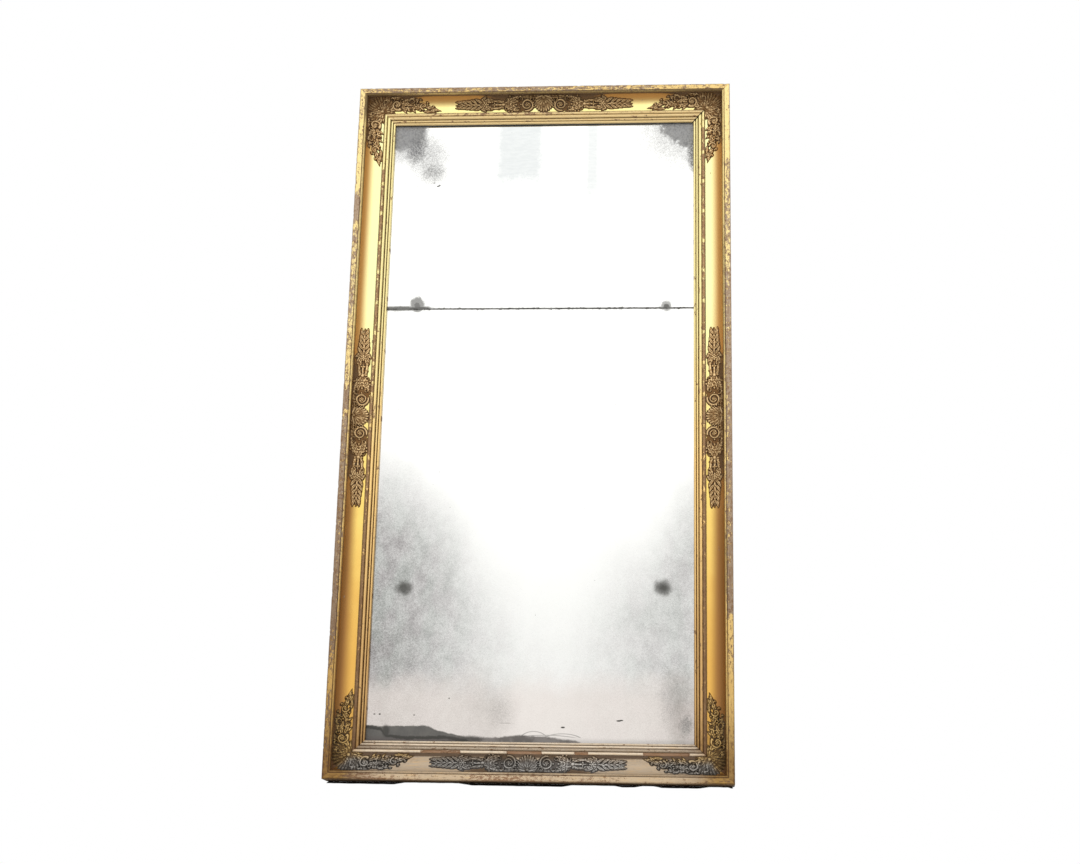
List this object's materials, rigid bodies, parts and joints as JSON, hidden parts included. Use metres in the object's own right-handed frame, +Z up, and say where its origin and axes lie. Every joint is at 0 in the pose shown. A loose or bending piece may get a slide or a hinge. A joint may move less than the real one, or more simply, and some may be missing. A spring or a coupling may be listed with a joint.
{
  "type": "pier mirror",
  "caption": "Tall rectangular gilt pier mirror: mitred cove frame with cast foliage ornaments, reeded sight edge, two silvered plates and a panelled wooden back with hanging rings.",
  "frame": {"origin": "middle of the bottom face, where the frame stands on the floor", "axes": "+Z up along the height, -Y out of the mirror's front, +X to the right as seen from the front"},
  "size_m": [1.03, 0.072, 1.904],
  "materials": {
    "gilt_wood": "water-gilt gold leaf over red bole and gesso, worn at the edges",
    "gilt_lip": "rubbed gilding with grey-brown wood and red bole showing",
    "gilt_reeds": "burnished gilding, chipped on the outer reed",
    "gilt_casting": "darkened bronze gilding on cast composition, pale on the high points",
    "mirror_plate": "old silvered glass with grey haze, dark spots and lost silver at the corners",
    "raw_wood": "old unfinished pine, darkened and dusty",
    "panel_wood": "old unfinished pine boards",
    "peg_wood": "split oak",
    "block_wood": "plain softwood",
    "felt": "dark wool felt",
    "iron": "dark forged iron with light rust"
  },
  "bodies": {
    "mirror": {"top_rail": "gilt_wood", "bottom_rail": "gilt_wood", "left_stile": "gilt_wood", "right_stile": "gilt_wood", "top_lip": "gilt_lip", "bottom_lip": "gilt_lip", "left_lip": "gilt_lip", "right_lip": "gilt_lip", "top_sight_moulding": "gilt_reeds", "bottom_sight_moulding": "gilt_reeds", "left_sight_moulding": "gilt_reeds", "right_sight_moulding": "gilt_reeds", "mitre_keys": "raw_wood", "upper_mirror_plate": "mirror_plate", "lower_mirror_plate": "mirror_plate", "plate_blocks": "block_wood", "felt_pads": "felt", "top_left_corner_ornament": "gilt_casting", "top_right_corner_ornament": "gilt_casting", "bottom_left_corner_ornament": "gilt_casting", "bottom_right_corner_ornament": "gilt_casting", "top_centre_ornament": "gilt_casting", "bottom_centre_ornament": "gilt_casting", "left_centre_ornament": "gilt_casting", "right_centre_ornament": "gilt_casting", "back_left_stile": "raw_wood", "back_right_stile": "raw_wood", "back_top_rail": "raw_wood", "back_bottom_rail": "raw_wood", "back_upper_cross_rail": "raw_wood", "back_lower_cross_rail": "raw_wood", "back_upper_muntin": "raw_wood", "back_middle_muntin": "raw_wood", "back_lower_muntin": "raw_wood", "back_upper_left_panel": "panel_wood", "back_upper_right_panel": "panel_wood", "back_middle_left_panel": "panel_wood", "back_middle_right_panel": "panel_wood", "back_lower_left_panel": "panel_wood", "back_lower_right_panel": "panel_wood", "back_pegs": "peg_wood", "back_screws": "iron", "left_hanger_plate": "iron", "right_hanger_plate": "iron", "hanger_screws": "iron"},
    "left_ring": {"left_hanging_ring": "iron"},
    "right_ring": {"right_hanging_ring": "iron"}
  },
  "joints": [
    {"name": "left_ring_swing", "type": "hinge", "parent": "mirror", "child": "left_ring", "pos_m": [-0.405, 0.0312, 1.719], "axis": [1, 0, 0], "range_deg": [0, 180]},
    {"name": "right_ring_swing", "type": "hinge", "parent": "mirror", "child": "right_ring", "pos_m": [0.405, 0.0312, 1.719], "axis": [1, 0, 0], "range_deg": [0, 180]}
  ]
}
